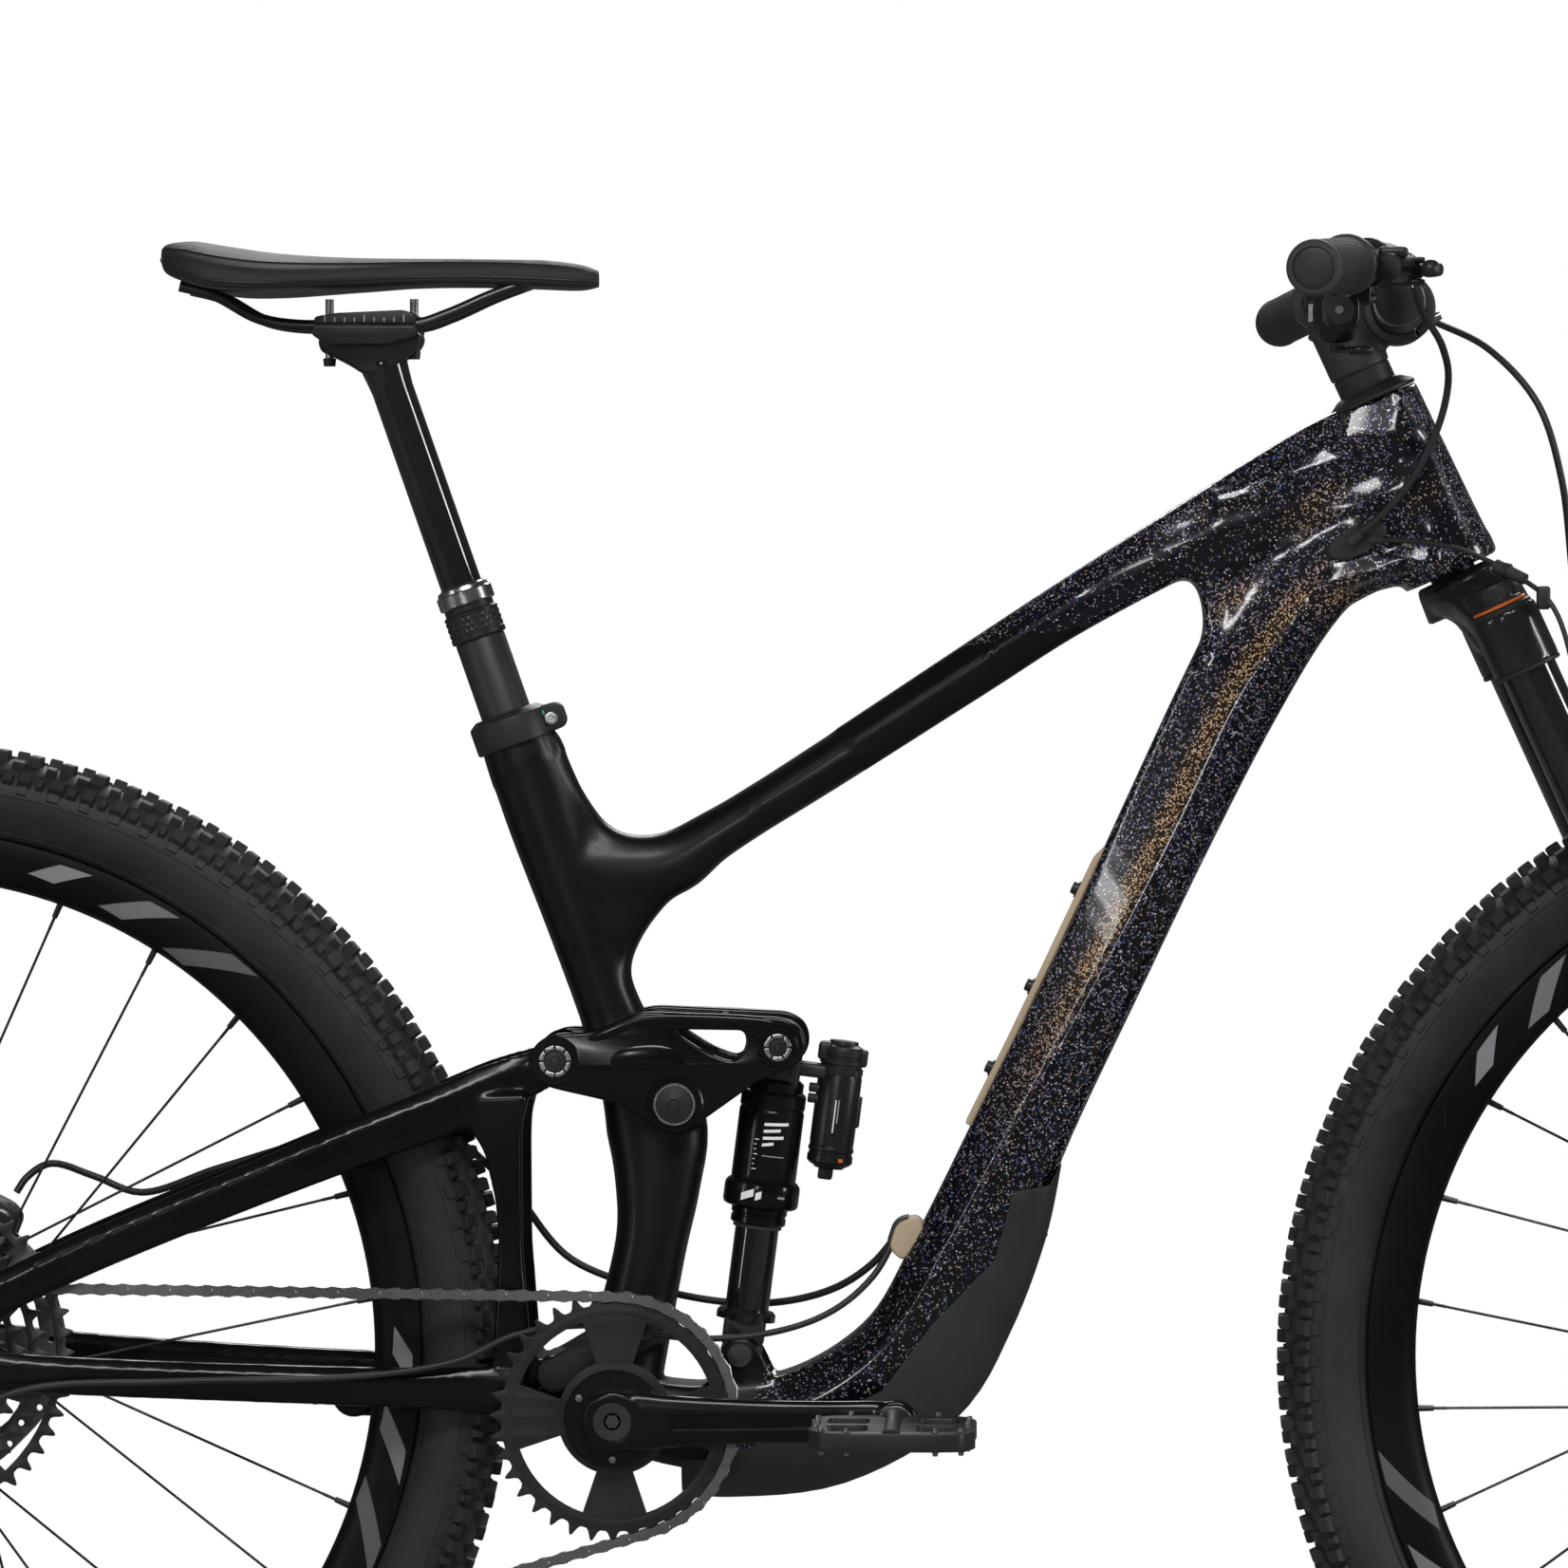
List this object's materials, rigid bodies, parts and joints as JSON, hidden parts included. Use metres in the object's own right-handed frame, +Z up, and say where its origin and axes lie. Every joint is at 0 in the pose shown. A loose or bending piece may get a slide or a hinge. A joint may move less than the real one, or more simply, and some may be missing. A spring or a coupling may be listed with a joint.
{
  "type": "full-suspension mountain bike",
  "caption": "Trail mountain bike with a four-bar rear suspension, long travel fork, dropper seat post, wide handlebar and disc brakes, its hinges, slides and spinning parts all separate.",
  "frame": {"origin": "on the ground, midway between the wheel axles, in the wheels' plane", "axes": "+X forward, +Y to the rider's left (drive side at -Y), +Z up"},
  "size_m": [1.954, 0.7846, 1.048],
  "materials": {
    "frame_pearl": "gloss pearl lacquer over moulded carbon, dense fine flake",
    "gloss_black": "gloss black lacquer over moulded carbon",
    "anodised_black": "fine blasted black anodising",
    "anodised_grey": "turned, grey anodising",
    "silver_alloy": "satin silver anodising",
    "steel": "plain steel, lightly brushed",
    "rim": "satin dark grey anodising",
    "tyre": "warm dark rubber with a moulded tread",
    "rubber": "matt black rubber",
    "cover": "matt black saddle cover over foam",
    "stanchion": "slick black coating, near mirror",
    "beige": "satin beige",
    "guard": "dark grey rubbery guard"
  },
  "bodies": {
    "frame": {"front_frame": "frame_pearl", "bottom_bracket": "anodised_black", "seat_collar": "anodised_black", "dropper_outer_tube": "anodised_black", "bottle_rail": "beige", "downtube_guard": "guard", "head_port": "rubber", "shelf_port": "beige", "rocker_axle": "anodised_grey", "rear_brake_hose": "rubber", "derailleur_housing": "rubber"},
    "steering": {"fork_upper": "stanchion", "stem": "anodised_black", "handlebar": "gloss_black", "left_grip": "rubber", "right_grip": "rubber", "right_brake_body": "anodised_black", "left_controls": "anodised_black", "shifter_body": "anodised_black", "cockpit_hose": "rubber", "front_brake_hose": "rubber", "fork_sensor_cable": "rubber"},
    "lowers": {"fork_lowers": "gloss_black", "front_axle": "anodised_black", "front_calliper": "anodised_black"},
    "front_wheel": {"front_tyre": "tyre", "front_laced_rim": "rim", "front_hub": "anodised_black", "front_disc": "steel"},
    "rocker": {"rocker_link": "gloss_black"},
    "lower_link": {"lower_link": "anodised_black"},
    "shock_body": {"shock_body": "anodised_black"},
    "shock_shaft": {"shock_shaft": "anodised_grey"},
    "rear_triangle": {"rear_triangle": "gloss_black", "rear_axle": "anodised_black", "rear_calliper": "anodised_black", "derailleur_body": "anodised_black", "chain_rear_wrap": "steel"},
    "rear_wheel": {"rear_tyre": "tyre", "rear_laced_rim": "rim", "rear_hub": "anodised_black", "rear_disc": "steel"},
    "cassette": {"cassette": "steel"},
    "cage": {"derailleur_cage": "anodised_black", "chain_cage_wrap": "steel"},
    "upper_jockey": {"upper_jockey_wheel": "guard"},
    "lower_jockey": {"lower_jockey_wheel": "guard"},
    "chain": {"chain_loop": "steel"},
    "crank": {"crank_arms": "gloss_black", "chainring": "anodised_black"},
    "right_pedal": {"right_pedal": "anodised_black"},
    "left_pedal": {"left_pedal": "anodised_black"},
    "dropper": {"dropper_inner_tube": "stanchion", "saddle_clamp": "anodised_black", "saddle_rails": "silver_alloy", "saddle": "cover"},
    "left_brake_lever": {"left_brake_lever": "anodised_black"},
    "right_brake_lever": {"right_brake_lever": "anodised_black"},
    "shift_paddle": {"shift_paddle": "anodised_black"},
    "dropper_lever": {"dropper_lever": "anodised_black"}
  },
  "joints": [
    {"name": "steering_turn", "type": "hinge", "parent": "frame", "child": "steering", "pos_m": [0.338, 0, 0.847], "axis": [-0.4156, 0, 0.9095], "range_deg": [-70, 70], "deforming": ["cockpit_hose", "fork_sensor_cable"]},
    {"name": "fork_travel", "type": "slide", "parent": "steering", "child": "lowers", "axis": [-0.4156, 0, 0.9095], "range_m": [0, 0.14], "stiffness_N_per_m": 1500, "springref_m": -0.08, "deforming": ["front_brake_hose"]},
    {"name": "front_wheel_spin", "type": "hinge", "parent": "lowers", "child": "front_wheel", "pos_m": [0.605, 0, 0.372], "axis": [0, 1, 0], "continuous": true},
    {"name": "rocker_pivot", "type": "hinge", "parent": "frame", "child": "rocker", "pos_m": [-0.1315, 0, 0.5252], "axis": [0, 1, 0], "range_deg": [0, 43.26], "stiffness_Nm_per_rad": 120, "springref_deg": -14.32, "deforming": ["rear_brake_hose", "derailleur_housing"]},
    {"name": "stay_pivot", "type": "hinge", "parent": "rocker", "child": "rear_triangle", "pos_m": [-0.2038, 0, 0.5512], "axis": [0, 1, 0], "range_deg": [-31.5, 0]},
    {"name": "lower_link_pivot", "type": "hinge", "parent": "frame", "child": "lower_link", "pos_m": [-0.15, 0, 0.39], "axis": [0, 1, 0], "range_deg": [0, 48]},
    {"name": "shock_top_pivot", "type": "hinge", "parent": "rocker", "child": "shock_body", "pos_m": [-0.0691, 0, 0.5599], "axis": [0, 1, 0], "range_deg": [-38, 0]},
    {"name": "shock_stroke", "type": "slide", "parent": "shock_body", "child": "shock_shaft", "axis": [0.1262, 0, 0.992], "range_m": [0, 0.05]},
    {"name": "chain_pivot", "type": "hinge", "parent": "frame", "child": "chain", "pos_m": [-0.167, 0, 0.337], "axis": [0, 1, 0], "range_deg": [0, 18]},
    {"name": "rear_wheel_spin", "type": "hinge", "parent": "rear_triangle", "child": "rear_wheel", "pos_m": [-0.605, 0, 0.372], "axis": [0, 1, 0], "continuous": true},
    {"name": "cassette_spin", "type": "hinge", "parent": "rear_triangle", "child": "cassette", "pos_m": [-0.605, 0, 0.372], "axis": [0, 1, 0], "continuous": true},
    {"name": "crank_spin", "type": "hinge", "parent": "frame", "child": "crank", "pos_m": [-0.167, 0, 0.337], "axis": [0, 1, 0], "continuous": true},
    {"name": "right_pedal_spin", "type": "hinge", "parent": "crank", "child": "right_pedal", "pos_m": [0.003, 0, 0.337], "axis": [0, 1, 0], "continuous": true},
    {"name": "left_pedal_spin", "type": "hinge", "parent": "crank", "child": "left_pedal", "pos_m": [-0.337, 0, 0.337], "axis": [0, 1, 0], "continuous": true},
    {"name": "cage_swing", "type": "hinge", "parent": "rear_triangle", "child": "cage", "pos_m": [-0.585, 0, 0.262], "axis": [0, 1, 0], "range_deg": [0, 20], "stiffness_Nm_per_rad": 1.2, "springref_deg": -20.05},
    {"name": "upper_jockey_spin", "type": "hinge", "parent": "cage", "child": "upper_jockey", "pos_m": [-0.585, 0, 0.262], "axis": [0, 1, 0], "continuous": true},
    {"name": "lower_jockey_spin", "type": "hinge", "parent": "cage", "child": "lower_jockey", "pos_m": [-0.572, 0, 0.172], "axis": [0, 1, 0], "continuous": true},
    {"name": "dropper_travel", "type": "slide", "parent": "frame", "child": "dropper", "axis": [0.3305, 0, -0.9438], "range_m": [0, 0.125], "stiffness_N_per_m": 150, "springref_m": -0.35},
    {"name": "left_brake_lever_pull", "type": "hinge", "parent": "steering", "child": "left_brake_lever", "pos_m": [0.3039, 0.205, 1.01928], "axis": [0, 0, 1], "range_deg": [0, 13], "stiffness_Nm_per_rad": 1.5, "springref_deg": -14.32},
    {"name": "right_brake_lever_pull", "type": "hinge", "parent": "steering", "child": "right_brake_lever", "pos_m": [0.3039, -0.205, 1.01928], "axis": [0, 0, -1], "range_deg": [0, 13], "stiffness_Nm_per_rad": 1.5, "springref_deg": -14.32},
    {"name": "shift_paddle_push", "type": "hinge", "parent": "steering", "child": "shift_paddle", "pos_m": [0.26385, -0.184, 0.99731], "axis": [0, 0, 1], "range_deg": [0, 25], "stiffness_Nm_per_rad": 0.5, "springref_deg": -17.19},
    {"name": "dropper_lever_push", "type": "hinge", "parent": "steering", "child": "dropper_lever", "pos_m": [0.27385, 0.184, 1.00331], "axis": [0, 0, -1], "range_deg": [0, 22], "stiffness_Nm_per_rad": 0.5, "springref_deg": -17.19}
  ],
  "couplings": [
    {"joint": "stay_pivot", "follows": "rocker_pivot", "ratio": -0.7017},
    {"joint": "lower_link_pivot", "follows": "rocker_pivot", "ratio": 1.0828},
    {"joint": "shock_top_pivot", "follows": "rocker_pivot", "ratio": -0.855},
    {"joint": "shock_stroke", "follows": "rocker_pivot", "m_per_rad": 0.065},
    {"joint": "chain_pivot", "follows": "rocker_pivot", "ratio": 0.387},
    {"joint": "cassette_spin", "follows": "crank_spin", "ratio": 1.7143},
    {"joint": "upper_jockey_spin", "follows": "crank_spin", "ratio": -3},
    {"joint": "lower_jockey_spin", "follows": "crank_spin", "ratio": 2.5714}
  ]
}
